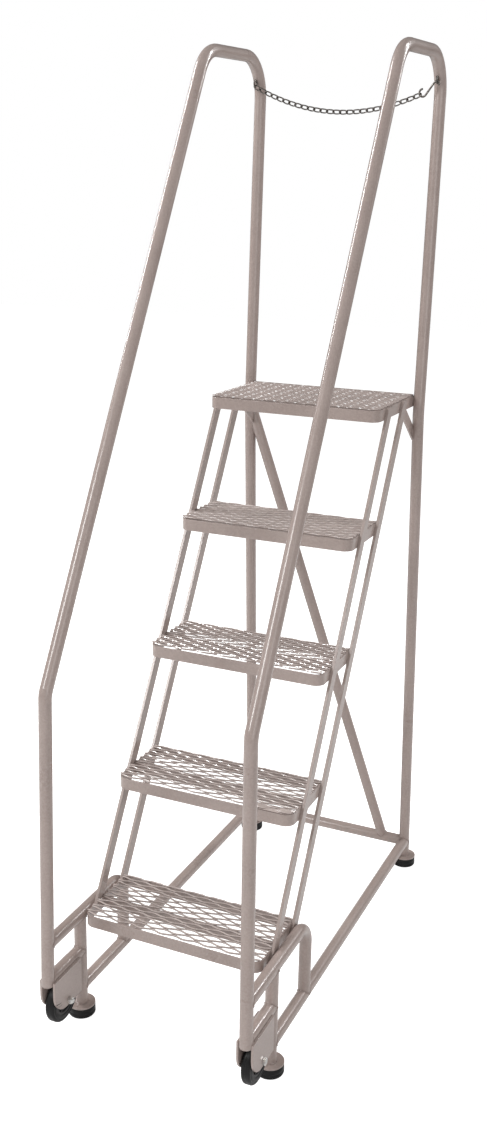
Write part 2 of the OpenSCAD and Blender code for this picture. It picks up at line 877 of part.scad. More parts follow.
axle_washers();
foot_disc(-1, false);  // foot_disc_front_left
foot_disc(1, false);  // foot_disc_front_right
foot_disc(-1, true);  // foot_disc_rear_left
foot_disc(1, true);  // foot_disc_rear_right
foot_pad(-1, false);  // foot_pad_front_left
foot_pad(1, false);  // foot_pad_front_right
foot_pad(-1, true);  // foot_pad_rear_left
foot_pad(1, true);  // foot_pad_rear_right
foot_rivets();
chain_eyes();
chain_eye_nuts();
chain_links();
chain_hook();
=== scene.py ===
import math
import random

import bmesh
import bpy
from mathutils import Matrix, Vector


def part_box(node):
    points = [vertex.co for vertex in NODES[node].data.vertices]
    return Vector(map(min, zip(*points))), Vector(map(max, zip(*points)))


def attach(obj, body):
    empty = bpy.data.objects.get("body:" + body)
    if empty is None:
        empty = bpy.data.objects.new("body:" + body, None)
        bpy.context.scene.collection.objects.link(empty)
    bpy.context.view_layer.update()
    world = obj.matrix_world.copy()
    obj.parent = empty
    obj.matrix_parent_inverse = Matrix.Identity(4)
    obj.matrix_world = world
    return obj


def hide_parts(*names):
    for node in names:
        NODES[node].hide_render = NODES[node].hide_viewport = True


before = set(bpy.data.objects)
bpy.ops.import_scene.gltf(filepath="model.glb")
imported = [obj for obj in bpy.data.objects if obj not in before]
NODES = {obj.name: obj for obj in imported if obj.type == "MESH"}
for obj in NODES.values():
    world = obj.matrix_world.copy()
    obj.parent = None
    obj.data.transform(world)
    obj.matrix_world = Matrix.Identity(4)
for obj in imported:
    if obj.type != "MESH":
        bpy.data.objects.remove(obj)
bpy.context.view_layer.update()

MM = 0.001
X, Y, Z = Vector((1, 0, 0)), Vector((0, 1, 0)), Vector((0, 0, 1))
SIDES = (("left", -1), ("right", 1))
rng = random.Random(7)


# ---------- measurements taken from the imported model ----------

def corners(node):
    return [Vector(c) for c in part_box(node)]


def centre(node):
    lo, hi = corners(node)
    return (lo + hi) / 2


def size(node):
    lo, hi = corners(node)
    return hi - lo


def section_centre(node, z):
    """Middle of a node's outline where the level z cuts its edges."""
    mesh = NODES[node].data
    xs, ys = [], []
    for edge in mesh.edges:
        a, b = (mesh.vertices[i].co for i in edge.vertices)
        level = abs(a.z - b.z) < 1e-7
        if not level and (a.z - z) * (b.z - z) <= 0:
            t = (z - a.z) / (b.z - a.z)
            xs.append(a.x + (b.x - a.x) * t)
            ys.append(a.y + (b.y - a.y) * t)
    return Vector(((min(xs) + max(xs)) / 2, (min(ys) + max(ys)) / 2, z))


def islands(node):
    """A node's separate solids as lists of points."""
    bm = bmesh.new()
    bm.from_mesh(NODES[node].data)
    bmesh.ops.remove_doubles(bm, verts=bm.verts, dist=1e-6)
    seen, groups = set(), []
    for start in bm.verts:
        if start in seen:
            continue
        stack, group = [start], []
        seen.add(start)
        while stack:
            v = stack.pop()
            group.append(v.co.copy())
            for e in v.link_edges:
                other = e.other_vert(v)
                if other not in seen:
                    seen.add(other)
                    stack.append(other)
        groups.append(group)
    bm.free()
    return groups


TUBE_R = size("base_rail_right").x / 2
BASE_X = centre("base_rail_right").x
RAIL_Z = centre("base_rail_right").z
FOOT_LEG_Y = centre("front_foot_leg_right").y
CROSS_Y = centre("rear_crossbar").y
WHEEL_TUBE_Z = centre("wheel_mount_tube_right").z
SUPPORT_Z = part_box("step_support_right")[1][2] - TUBE_R
SUPPORT_DROP_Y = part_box("step_support_right")[1][1] - TUBE_R
LEG_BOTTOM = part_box("front_foot_leg_right")[0][2]
STEP_FRAMES = [f"step_frame_{k}" for k in range(1, 5)] + ["platform_frame"]
STEP_TREADS = [f"step_tread_{k}" for k in range(1, 5)] + ["platform_tread"]
STIFFENERS = [f"step_stiffener_{k}" for k in range(1, 5)] + ["platform_stiffener"]
HALF_STEP = size("step_frame_1").x / 2
# Outside radius of the front corners of the bent step bands.
BAND_CORNER = 22 * MM

# Expanded metal: pitch of the diamonds along X, and half their pitch along Y.
LONG_WAY = 50.8 * MM
ROW = 11.0 * MM
# A strand's width and thickness, and how far it is turned up at the back.
STRAND = 4.0 * MM
STRAND_T = 2.2 * MM
TILT = math.radians(36)
# The platform's sheet is thinner and rolled flatter than those of the steps.
PLATFORM_T = 1.8 * MM
PLATFORM_TILT = math.radians(14)
# Where the pattern starts: a joint's place along X, and the first strand from the front edge.
OPENING_X = 4.6 * MM
FIRST_STRAND = 8.8 * MM


# ---------- materials ----------

def material(name):
    m = bpy.data.materials.new(name)
    m.use_nodes = True
    tree = m.node_tree
    tree.nodes.clear()
    return m, tree


def noise(tree, coords, scale, detail=3.0, rough=0.55):
    n = tree.nodes.new("ShaderNodeTexNoise")
    n.inputs["Scale"].default_value = scale
    n.inputs["Detail"].default_value = detail
    n.inputs["Roughness"].default_value = rough
    tree.links.new(coords, n.inputs["Vector"])
    return n.outputs["Fac"]


def remap(tree, value, a, b, c, d):
    """Carries the range a to b over to the range c to d, and holds it there outside."""
    n = tree.nodes.new("ShaderNodeMapRange")
    n.inputs["From Min"].default_value = a
    n.inputs["From Max"].default_value = b
    n.inputs["To Min"].default_value = c
    n.inputs["To Max"].default_value = d
    tree.links.new(value, n.inputs["Value"])
    return n.outputs["Result"]


def mix(tree, fac, a, b):
    n = tree.nodes.new("ShaderNodeMix")
    n.data_type = "RGBA"
    for socket, value in ((n.inputs["Factor"], fac), (n.inputs["A"], a), (n.inputs["B"], b)):
        if isinstance(value, bpy.types.NodeSocket):
            tree.links.new(value, socket)
        elif isinstance(value, (int, float)):
            socket.default_value = value
        else:
            socket.default_value = (*value, 1.0)
    return n.outputs["Result"]


def maths(tree, op, a, b=None):
    n = tree.nodes.new("ShaderNodeMath")
    n.operation = op
    for i, value in enumerate((a, b)):
        if value is None:
            continue
        if isinstance(value, bpy.types.NodeSocket):
            tree.links.new(value, n.inputs[i])
        else:
            n.inputs[i].default_value = value
    return n.outputs[0]


def edge_mask(tree, radius, gain):
    """0 on flats and 1 on tight edges, from how far a rounded normal leans away."""
    bevel = tree.nodes.new("ShaderNodeBevel")
    bevel.samples = 4
    bevel.inputs["Radius"].default_value = radius
    geo = tree.nodes.new("ShaderNodeNewGeometry")
    dot = tree.nodes.new("ShaderNodeVectorMath")
    dot.operation = "DOT_PRODUCT"
    tree.links.new(bevel.outputs["Normal"], dot.inputs[0])
    tree.links.new(geo.outputs["Normal"], dot.inputs[1])
    return remap(tree, dot.outputs["Value"], 1.0 - gain, 0.999, 1.0, 0.0)


def bump(tree, height, strength, distance, normal=None):
    n = tree.nodes.new("ShaderNodeBump")
    n.inputs["Strength"].default_value = strength
    n.inputs["Distance"].default_value = distance
    tree.links.new(height, n.inputs["Height"])
    if normal is not None:
        tree.links.new(normal, n.inputs["Normal"])
    return n.outputs["Normal"]


def clouded(tree, fac, a, b):
    """A blend of two colours that follows the middle of a noise's range."""
    return mix(tree, remap(tree, fac, 0.3, 0.7, 0.0, 1.0), a, b)


def principled(tree, colour, rough, normal, metallic=0.0, coat=0.0, coat_rough=0.1, specular=0.5):
    p = tree.nodes.new("ShaderNodeBsdfPrincipled")
    out = tree.nodes.new("ShaderNodeOutputMaterial")
    tree.links.new(colour, p.inputs["Base Color"])
    tree.links.new(rough, p.inputs["Roughness"])
    tree.links.new(normal, p.inputs["Normal"])
    for key, value in (
        ("Metallic", metallic),
        ("Coat Weight", coat),
        ("Coat Roughness", coat_rough),
        ("Specular IOR Level", specular),
    ):
        p.inputs[key].default_value = value
    tree.links.new(p.outputs["BSDF"], out.inputs["Surface"])
    return p


def object_coords(tree):
    return tree.nodes.new("ShaderNodeTexCoord").outputs["Object"]


# Colours are linear. Powder coat on tubes and sheet:
PAINT = (0.400, 0.322, 0.294)
PAINT_DARK = (0.345, 0.273, 0.248)
PAINT_LIGHT = (0.490, 0.408, 0.377)
PAINT_SPECK = (0.23, 0.185, 0.17)
PAINT_WORN = (0.60, 0.53, 0.50)
PAINT_WELD = (0.25, 0.195, 0.175)
# Powder coat on expanded metal, with light and shade painted in: the shaded sides of the strands,
# their lit tops, painted shade in the hollows between them and painted glints.
STRAND_SHADED_SIDE_DARK = (0.17, 0.125, 0.112)
STRAND_SHADED_SIDE = (0.24, 0.18, 0.162)
STRAND_TOP_LIT = (0.52, 0.44, 0.41)
STRAND_HOLLOW_SHADE = (0.075, 0.050, 0.042)
STRAND_GLINT = (0.80, 0.74, 0.71)
JOINT_GLINT = (0.98, 0.96, 0.95)
# Rubber, plastic and bare metal:
TYRE_BLACK = (0.004, 0.004, 0.0045)
TYRE_SCUFF = (0.018, 0.0175, 0.017)
FOOT_BLACK = (0.0035, 0.0035, 0.004)
FOOT_SCUFF = (0.014, 0.0135, 0.013)
RUBBER_EDGE = (0.03, 0.029, 0.028)
PLASTIC_DARK = (0.018, 0.018, 0.019)
PLASTIC_LIGHT = (0.032, 0.031, 0.031)
ZINC_BLUE = (0.70, 0.71, 0.73)
ZINC_STRAW = (0.82, 0.80, 0.74)
ZINC_EDGE = (0.92, 0.92, 0.92)
STEEL_DARK = (0.075, 0.064, 0.057)
STEEL_RUBBED = (0.27, 0.25, 0.235)
RUST = (0.10, 0.055, 0.035)
FLOOR_GREY = (0.86, 0.86, 0.86)
FLOOR_PALE = (0.90, 0.90, 0.90)


def powder_coat(name, peel=0.10, wear=0.35):
    """Glossy grey-brown powder coat: cloudy tone, orange peel, light wear on edges, fine specks."""
    m, t = material(name)
    co = object_coords(t)
    cloud = noise(t, co, 9.0, 4.0)
    grain = noise(t, co, 240.0, 2.0)
    tone = clouded(t, cloud, PAINT_DARK, PAINT)
    tone = mix(t, remap(t, grain, 0.35, 0.75, 0.0, 0.45), tone, PAINT_LIGHT)
    speck = remap(t, noise(t, co, 900.0, 1.0), 0.70, 0.78, 0.0, 0.25)
    tone = mix(t, speck, tone, PAINT_SPECK)
    edge = edge_mask(t, 1.3 * MM, 0.12)
    patchy = remap(t, noise(t, co, 55.0, 3.0), 0.42, 0.62, 0.1, 1.0)
    worn = maths(t, "MULTIPLY", maths(t, "MULTIPLY", edge, patchy), wear)
    tone = mix(t, worn, tone, PAINT_WORN)
    rough = maths(t, "ADD", remap(t, cloud, 0.3, 0.7, 0.26, 0.36), maths(t, "MULTIPLY", worn, 0.25))
    orange = noise(t, co, 520.0, 1.5)
    wave = noise(t, co, 90.0, 1.0)
    n = bump(t, wave, 0.05, 1.0 * MM)
    n = bump(t, orange, peel, 0.35 * MM, n)
    principled(t, tone, rough, n, coat=0.55, coat_rough=0.10)
    return m


def lattice(tree, coords, node):
    """Small spots over a node's sheet in columns, each column half a step from the last."""
    def steps(value, start, pitch):
        return maths(tree, "DIVIDE", maths(tree, "SUBTRACT", value, start), pitch)

    def off_centre(value):
        return maths(tree, "ABSOLUTE", maths(tree, "SUBTRACT", value, maths(tree, "ROUND", value)))

    axes = tree.nodes.new("ShaderNodeSeparateXYZ")
    tree.links.new(coords, axes.inputs[0])
    column = steps(axes.outputs["X"], OPENING_X, LONG_WAY / 2)
    row = steps(axes.outputs["Y"], corners(node)[0].y + FIRST_STRAND, 4 * ROW)
    row = maths(tree, "SUBTRACT", row, maths(tree, "MULTIPLY", maths(tree, "ROUND", column), 0.5))
    near_x = remap(tree, off_centre(column), 0.08, 0.14, 1.0, 0.0)
    near_y = remap(tree, off_centre(row), 0.10, 0.14, 1.0, 0.0)
    return maths(tree, "MULTIPLY", near_x, near_y)


def tread_coat(name, glints_on=None):
    """The coat on expanded metal: a painted highlight on top of the strands, painted shade on their
    sides and in the hollows between them, and painted glints.
    """
    m, t = material(name)
    co = object_coords(t)
    facing = t.nodes.new("ShaderNodeSeparateXYZ")
    t.links.new(t.nodes.new("ShaderNodeNewGeometry").outputs["Normal"], facing.inputs[0])
    cloud = noise(t, co, 30.0, 4.0)
    # Painted light: faces that turn up get the lit top colour, the rest the shaded side colour.
    top = remap(t, facing.outputs["Z"], 0.15, 0.8, 0.0, 1.0)
    tone = clouded(t, cloud, STRAND_SHADED_SIDE_DARK, STRAND_SHADED_SIDE)
    tone = mix(t, top, tone, STRAND_TOP_LIT)
    # Painted glints on the lit tops of the strands: at the joints of the platform's sheet in a
    # lattice, elsewhere scattered by noise.
    if glints_on:
        shine, bright = lattice(t, co, glints_on), JOINT_GLINT
    else:
        shine, bright = remap(t, noise(t, co, 170.0, 1.0), 0.56, 0.66, 0.0, 0.3), STRAND_GLINT
    tone = mix(t, maths(t, "MULTIPLY", top, shine), tone, bright)
    # Painted shade: darker where other strands close in round a point, in the hollows between them.
    hollow = t.nodes.new("ShaderNodeAmbientOcclusion")
    hollow.samples = 4
    hollow.inputs["Distance"].default_value = 9 * MM
    hollow_shade = remap(t, hollow.outputs["AO"], 0.35, 0.85, 0.9, 0.0)
    tone = mix(t, hollow_shade, tone, STRAND_HOLLOW_SHADE)
    rough = remap(t, cloud, 0.3, 0.7, 0.20, 0.34)
    n = bump(t, noise(t, co, 320.0, 2.0), 0.12, 0.4 * MM)
    principled(t, tone, rough, n, coat=0.5, coat_rough=0.10)
    return m


def weld_paint(name):
    """The same coat over a weld bead, a little darker in its ripples."""
    m, t = material(name)
    co = object_coords(t)
    ripple = noise(t, co, 420.0, 3.0)
    tone = clouded(t, ripple, PAINT_WELD, PAINT)
    rough = remap(t, ripple, 0.3, 0.7, 0.40, 0.28)
    principled(t, tone, rough, bump(t, ripple, 0.4, 0.6 * MM), coat=0.4, coat_rough=0.15)
    return m


def rubber(name, base, scuff):
    """Black moulded rubber with a fine grain, dusty scuffs and greyer edges."""
    m, t = material(name)
    co = object_coords(t)
    cloud = noise(t, co, 45.0, 5.0)
    tone = mix(t, remap(t, cloud, 0.48, 0.75, 0.0, 0.5), base, scuff)
    edge = edge_mask(t, 1.5 * MM, 0.15)
    rub = maths(t, "MULTIPLY", edge, remap(t, noise(t, co, 160.0, 3.0), 0.4, 0.6, 0.1, 0.7))
    tone = mix(t, rub, tone, RUBBER_EDGE)
    rough = remap(t, cloud, 0.3, 0.7, 0.30, 0.46)
    n = bump(t, noise(t, co, 1300.0, 2.0), 0.15, 0.25 * MM)
    principled(t, tone, rough, n, specular=0.3)
    return m


def hard_plastic(name):
    """Satin black plastic, a little uneven in tone and gloss."""
    m, t = material(name)
    co = object_coords(t)
    cloud = noise(t, co, 60.0, 4.0)
    tone = clouded(t, cloud, PLASTIC_DARK, PLASTIC_LIGHT)
    rough = remap(t, cloud, 0.3, 0.7, 0.30, 0.42)
    principled(t, tone, rough, bump(t, noise(t, co, 900.0, 2.0), 0.1, 0.2 * MM))
    return m


def bright_zinc(name):
    """Zinc plate: bright metal with faint blue and straw patches and fine grain."""
    m, t = material(name)
    co = object_coords(t)
    cloud = noise(t, co, 140.0, 4.0)
    tone = clouded(t, cloud, ZINC_BLUE, ZINC_STRAW)
    edge = edge_mask(t, 0.6 * MM, 0.15)
    tone = mix(t, maths(t, "MULTIPLY", edge, 0.6), tone, ZINC_EDGE)
    rough = remap(t, noise(t, co, 700.0, 3.0), 0.3, 0.7, 0.20, 0.36)
    principled(t, tone, rough, bump(t, noise(t, co, 1500.0, 2.0), 0.12, 0.12 * MM), metallic=1.0)
    return m


def dull_steel(name):
    """Chain steel: brown-grey, clouded darker and lighter at random, with patches of rust."""
    m, t = material(name)
    co = object_coords(t)
    cloud = noise(t, co, 220.0, 5.0)
    tone = mix(t, remap(t, cloud, 0.35, 0.65, 0.0, 1.0), STEEL_DARK, STEEL_RUBBED)
    rust = remap(t, noise(t, co, 95.0, 3.0), 0.58, 0.72, 0.0, 0.45)
    tone = mix(t, rust, tone, RUST)
    rough = remap(t, cloud, 0.3, 0.7, 0.48, 0.26)
    principled(t, tone, rough, bump(t, cloud, 0.25, 0.3 * MM), metallic=0.9)
    return m


paint = powder_coat("powder_coat_tube")
paint_sheet = powder_coat("powder_coat_sheet", peel=0.08, wear=0.5)
paint_mesh = tread_coat("powder_coat_tread")
paint_platform = tread_coat("powder_coat_platform", glints_on="platform_tread")
weld = weld_paint("powder_coat_weld")
tyre_rubber = rubber("wheel_rubber", TYRE_BLACK, TYRE_SCUFF)
foot_rubber = rubber("foot_rubber", FOOT_BLACK, FOOT_SCUFF)
hub_plastic = hard_plastic("hub_plastic")
zinc = bright_zinc("zinc_plate")
chain_steel = dull_steel("chain_steel")


# ---------- mesh helpers ----------

def ring_point(middle, u, v, angle, radius):
    return middle + (u * math.cos(angle) + v * math.sin(angle)) * radius


def spin(count):
    """Evenly spaced angles of one turn."""
    return [2 * math.pi * i / count for i in range(count)]


def join_rings(bm, low, high):
    """A band of faces between two rings of points, or between a ring and a single point."""
    count = max(len(low), len(high))
    for i in range(count):
        j = (i + 1) % count
        if len(low) == 1:
            bm.faces.new((low[0], high[j], high[i]))
        elif len(high) == 1:
            bm.faces.new((low[i], low[j], high[0]))
        else:
            bm.faces.new((low[i], low[j], high[j], high[i]))


def cap(bm, first, last):
    bm.faces.new(list(reversed(first)))
    bm.faces.new(last)


def to_object(name, bm, mat, body, smooth_angle=40.0):
    """Makes a riding object of the mesh, smooth except where it turns by more than the angle."""
    bmesh.ops.recalc_face_normals(bm, faces=bm.faces)
    limit = math.radians(smooth_angle)
    for f in bm.faces:
        f.smooth = True
    for e in bm.edges:
        e.smooth = not (len(e.link_faces) == 2 and e.calc_face_angle(0.0) > limit)
    mesh = bpy.data.meshes.new(name)
    bm.to_mesh(mesh)
    bm.free()
    mesh.materials.append(mat)
    obj = bpy.data.objects.new(name, mesh)
    bpy.context.scene.collection.objects.link(obj)
    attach(obj, body)
    return obj


def lathe(bm, origin, axis, profile, steps):
    """Turns a list of (radius, along) points round the axis. Radius 0 closes an end."""
    axis = Vector(axis).normalized()
    side = axis.orthogonal().normalized()
    up = axis.cross(side)
    rings = []
    for radius, along in profile:
        middle = origin + axis * along
        if radius <= 1e-9:
            rings.append([bm.verts.new(middle)])
        else:
            ring = [ring_point(middle, side, up, a, radius) for a in spin(steps)]
            rings.append([bm.verts.new(p) for p in ring])
    for low, high in zip(rings[:-1], rings[1:]):
        join_rings(bm, low, high)


def sweep(bm, points, radius, sides=8, closed=False):
    """A round bar through the points. Its radius is a number or a function of the point's place."""
    n = len(points)
    tangents = []
    for i in range(n):
        a = points[(i - 1) % n] if closed or i > 0 else points[i]
        b = points[(i + 1) % n] if closed or i < n - 1 else points[i]
        tangents.append((b - a).normalized())
    normal = tangents[0].orthogonal().normalized()
    frames = []
    for t in tangents:
        normal = (normal - t * normal.dot(t)).normalized()
        frames.append((normal.copy(), t.cross(normal)))
    if closed:
        # Spread the leftover twist so that the last ring meets the first.
        n0, b0 = frames[0]
        last = frames[-1][0]
        last = (last - tangents[0] * last.dot(tangents[0])).normalized()
        miss = math.atan2(last.dot(b0), last.dot(n0))
        for i, (u, v) in enumerate(frames):
            c, s = math.cos(miss * i / n), math.sin(miss * i / n)
            frames[i] = (u * c - v * s, v * c + u * s)
    rings = []
    for i, (p, (u, v)) in enumerate(zip(points, frames)):
        r = radius(i) if callable(radius) else radius
        rings.append([bm.verts.new(ring_point(p, u, v, a, r)) for a in spin(sides)])
    for low, high in zip(rings[:-1], rings[1:]):
        join_rings(bm, low, high)
    if closed:
        join_rings(bm, rings[-1], rings[0])
    else:
        cap(bm, rings[0], rings[-1])


def resample(points, step, closed=False):
    """Points at even steps along the path."""
    pts = list(points) + ([points[0]] if closed else [])
    out, carry = [], 0.0
    for a, b in zip(pts[:-1], pts[1:]):
        length = (b - a).length
        d = carry
        while d < length:
            out.append(a.lerp(b, d / length))
            d += step
        carry = d - length
    if not closed:
        out.append(pts[-1])
    return out


# ---------- looks of the carried-over nodes ----------

def smoothing_group():
    """Joins the loaded facets, then keeps only real corners sharp."""
    g = bpy.data.node_groups.new("smooth_joined", "GeometryNodeTree")
    g.interface.new_socket("Geometry", in_out="INPUT", socket_type="NodeSocketGeometry")
    g.interface.new_socket("Geometry", in_out="OUTPUT", socket_type="NodeSocketGeometry")
    n_in = g.nodes.new("NodeGroupInput")
    n_out = g.nodes.new("NodeGroupOutput")
    drop = g.nodes.new("GeometryNodeRemoveAttribute")
    drop.inputs["Name"].default_value = "custom_normal"
    merge = g.nodes.new("GeometryNodeMergeByDistance")
    merge.inputs["Distance"].default_value = 0.004 * MM
    faces = g.nodes.new("GeometryNodeSetShadeSmooth")
    faces.domain = "FACE"
    angle = g.nodes.new("GeometryNodeInputMeshEdgeAngle")
    above = g.nodes.new("FunctionNodeCompare")
    above.operation = "GREATER_THAN"
    above.inputs[1].default_value = math.radians(32)
    edges = g.nodes.new("GeometryNodeSetShadeSmooth")
    edges.domain = "EDGE"
    edges.inputs["Shade Smooth"].default_value = False
    g.links.new(n_in.outputs[0], drop.inputs["Geometry"])
    g.links.new(drop.outputs["Geometry"], merge.inputs["Geometry"])
    g.links.new(merge.outputs["Geometry"], faces.inputs["Geometry"])
    g.links.new(faces.outputs["Geometry"], edges.inputs["Geometry"])
    g.links.new(angle.outputs["Unsigned Angle"], above.inputs[0])
    g.links.new(above.outputs[0], edges.inputs["Selection"])
    g.links.new(edges.outputs["Geometry"], n_out.inputs[0])
    return g


SMOOTH = smoothing_group()


def dress(node, mat, bevel=0.0):
    """Material for a loaded node, with its sharp corners eased by modifiers."""
    obj = NODES[node]
    obj.data.materials.clear()
    obj.data.materials.append(mat)
    joined = obj.modifiers.new("joined", "NODES")
    joined.node_group = SMOOTH
    if bevel > 0:
        b = obj.modifiers.new("eased", "BEVEL")
        b.width = bevel
        b.segments = 2
        b.limit_method = "ANGLE"
        b.angle_limit = math.radians(50)
        b.harden_normals = True


SIDED_TUBES = (
    "handrail", "rear_leg", "step_support", "front_foot_leg", "wheel_mount_tube", "base_rail",
)
SIDED_BARS = (
    "stringer_front", "stringer_rear", "platform_gusset", "wheel_plate_inner", "wheel_plate_outer",
)
SIDED_DISCS = ("foot_disc_front", "foot_disc_rear")
for side, _ in SIDES:
    for base in SIDED_TUBES:
        dress(f"{base}_{side}", paint)
    for base in SIDED_BARS:
        dress(f"{base}_{side}", paint_sheet, 0.6 * MM)
    for base in SIDED_DISCS:
        dress(f"{base}_{side}", paint_sheet, 0.7 * MM)
for node in ("rear_crossbar", "diagonal_brace"):
    dress(node, paint)
for node in STEP_FRAMES + STIFFENERS + ["foot_rivets"]:
    dress(node, paint_sheet, 0.5 * MM)
dress("axle_washers", zinc, 0.2 * MM)
dress("chain_eyes", chain_steel)
dress("chain_hook", chain_steel)


# ---------- expanded metal treads ----------

# Where a strand's slope is sampled, as parts of half its period.
SAMPLES = (0.0, 0.14, 0.22, 0.5, 0.78, 0.86)
# A strand's cross-section with eased edges, as parts of its width and thickness.
PROFILE = ((-0.5, 0.0), (-0.36, 0.5), (0.36, 0.5), (0.5, 0.0), (0.36, -0.5), (-0.36, -0.5))


def zigzag(u):
    """Straight slopes between 1 and -1, with a short flat at each, one period per unit."""
    away = abs((u + 0.5) % 1.0 - 0.5)
    return 1 - 2 * min(1.0, max(0.0, (away - 0.09) / 0.32))


def expanded_tread(node, tilt, strand_t):
    """Raised expanded metal: zigzag strands, turned up at the back, joined where they meet."""
    lo, hi = corners(node)
    inset = 0.4 * MM
    # Neighbouring strands overlap by 4% of their width where they join.
    swing = (ROW - STRAND * math.cos(tilt) * 0.96) / 2
    lift = STRAND * math.sin(tilt) / 2
    edge = inset + STRAND * math.cos(tilt) / 2 + strand_t * math.sin(tilt) / 2
    mid_z = (lo.z + hi.z) / 2
    half_x = hi.x - inset
    bm = bmesh.new()
    j = 0
    while lo.y + FIRST_STRAND + j * ROW < hi.y - edge:
        y0 = lo.y + FIRST_STRAND + j * ROW
        depth = y0 - lo.y
        reach = half_x
        if depth < BAND_CORNER:
            # The strand ends at the rounded corner of the band.
            rounded = math.sqrt(BAND_CORNER**2 - (BAND_CORNER - depth) ** 2)
            reach = half_x - BAND_CORNER + rounded
        xs = []
        m = math.floor((-reach - OPENING_X) / LONG_WAY * 2) - 1
        while m * LONG_WAY / 2 < reach + LONG_WAY:
            for s in SAMPLES:
                x = (m + s) / 2 * LONG_WAY + OPENING_X
                if -reach < x < reach:
                    xs.append(x)
            m += 1
        xs = [-reach] + xs + [reach]
        rings = []
        for x in xs:
            s = zigzag((x - OPENING_X) / LONG_WAY + j / 2)
            jitter = rng.uniform(-0.05, 0.05) * MM
            y = min(max(y0 + s * swing + jitter, lo.y + edge), hi.y - edge)
            z = mid_z - s * lift
            ring = []
            for a, b in PROFILE:
                dy = a * STRAND * math.cos(tilt) - b * strand_t * math.sin(tilt)
                dz = a * STRAND * math.sin(tilt) + b * strand_t * math.cos(tilt)
                ring.append(bm.verts.new((x, y + dy, z + dz)))
            rings.append(ring)
        for low, high in zip(rings[:-1], rings[1:]):
            join_rings(bm, low, high)
        cap(bm, rings[0], rings[-1])
        j += 1
    return bm


def plain_strip(bm, node):
    """The end of the sheet that was left unexpanded, at the right front of the second tread."""
    lo, hi = corners(node)
    start, back = 115 * MM, lo.y + 22 * MM
    bottom, top = lo.z + 0.1 * MM, lo.z + 2.2 * MM
    inset = 0.5 * MM
    corner_x, corner_y = hi.x - BAND_CORNER, lo.y + BAND_CORNER
    outline = [(start, lo.y + inset), (corner_x, lo.y + inset)]
    for k in range(1, 9):
        a = math.pi / 2 * k / 8.2
        r = BAND_CORNER - inset
        outline.append((corner_x + r * math.sin(a), corner_y - r * math.cos(a)))
    outline += [(hi.x - inset, back), (start, back)]
    low = [bm.verts.new((x, y, bottom)) for x, y in outline]
    high = [bm.verts.new((x, y, top)) for x, y in outline]
    join_rings(bm, low, high)
    cap(bm, low, high)


for node in STEP_TREADS:
    if node == "platform_tread":
        bm, mat = expanded_tread(node, PLATFORM_TILT, PLATFORM_T), paint_platform
    else:
        bm, mat = expanded_tread(node, TILT, STRAND_T), paint_mesh
    if node == "step_tread_2":
        plain_strip(bm, node)
    obj = to_object(f"{node}_mesh", bm, mat, "ladder_frame", 50)
    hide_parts(node)


# ---------- weld beads ----------

def bead(bm, points, closed=False, radius=1.9 * MM):
    """A rippled weld bead along the points, tapered at its ends if it has any."""
    pts = resample(points, 0.9 * MM, closed)
    if len(pts) < 3:
        return
    start = rng.uniform(0, 6.28)
    wander = [rng.uniform(-0.05, 0.05) for _ in pts]

    def r(i):
        ripple = 0.13 * math.sin(start + i * 2.1) + 0.07 * math.sin(start + i * 0.37)
        taper = 1.0
        if not closed:
            taper = min(1.0, 0.35 + 0.3 * min(i, len(pts) - 1 - i))
        return radius * (1 + ripple + wander[i]) * taper

    sweep(bm, pts, r, 7, closed)


def saddle(start, along, main_point, main_dir, radius):
    """Where a tube of the given radius, leaving start along its direction, meets a frame tube."""
    d = Vector(along).normalized()
    e = Vector(main_dir).normalized()
    u = d.orthogonal().normalized()
    v = d.cross(u)
    out = []
    for a in spin(72):
        p = ring_point(start, u, v, a, radius) - main_point
        # The point moves along d until it is one tube radius away from the main tube's axis.
        pe, de = p - e * p.dot(e), d - e * d.dot(e)
        qa, qb, qc = de.dot(de), 2 * pe.dot(de), pe.dot(pe) - TUBE_R**2
        disc = max(0.0, qb * qb - 4 * qa * qc)
        s = (-qb + math.sqrt(disc)) / (2 * qa)
        out.append(main_point + p + d * s)
    return out


def line_at(a, b, z):
    """Point of the line through a and b at the level z."""
    return a.lerp(b, (z - a.z) / (b.z - a.z))


def joints(side, sign):
    """Every place on one side where one frame tube ends on another, as arguments for saddle()."""
    bx = sign * BASE_X
    leg, leg_dir = AXES[f"handrail_{side}"]
    rear, rear_dir = AXES[f"rear_leg_{side}"]
    foot_leg = Vector((bx, FOOT_LEG_Y, 0))
    rail = Vector((bx, 0, RAIL_Z))
    on_rear = line_at(rear, rear + rear_dir, RAIL_Z)
    return [
        (line_at(leg, leg + leg_dir, SUPPORT_Z), Y, leg, leg_dir),
        (line_at(leg, leg + leg_dir, WHEEL_TUBE_Z), Y, leg, leg_dir),
        (foot_leg + Z * SUPPORT_Z, -Z, Vector((bx, 0, SUPPORT_Z)), Y),
        (foot_leg + Z * WHEEL_TUBE_Z, -Y, foot_leg, Z),
        (foot_leg + Z * RAIL_Z, Y, foot_leg, Z),
        (rail + Y * SUPPORT_DROP_Y, Z, rail, Y),
        (on_rear, -Y, rear, rear_dir),
        (on_rear, -X * sign, rear, rear_dir),
    ]


# Axis of each sloping tube, as a point and a direction, read at two levels of its straight part.
AXES = {}
for node, low_z, high_z in (
    ("handrail_left", 0.165, 0.60), ("handrail_right", 0.165, 0.60),
    ("rear_leg_left", 0.12, 1.10), ("rear_leg_right", 0.12, 1.10),
    ("diagonal_brace", 0.20, 1.05),
):
    low = section_centre(node, low_z)
    AXES[node] = (low, section_centre(node, high_z) - low)

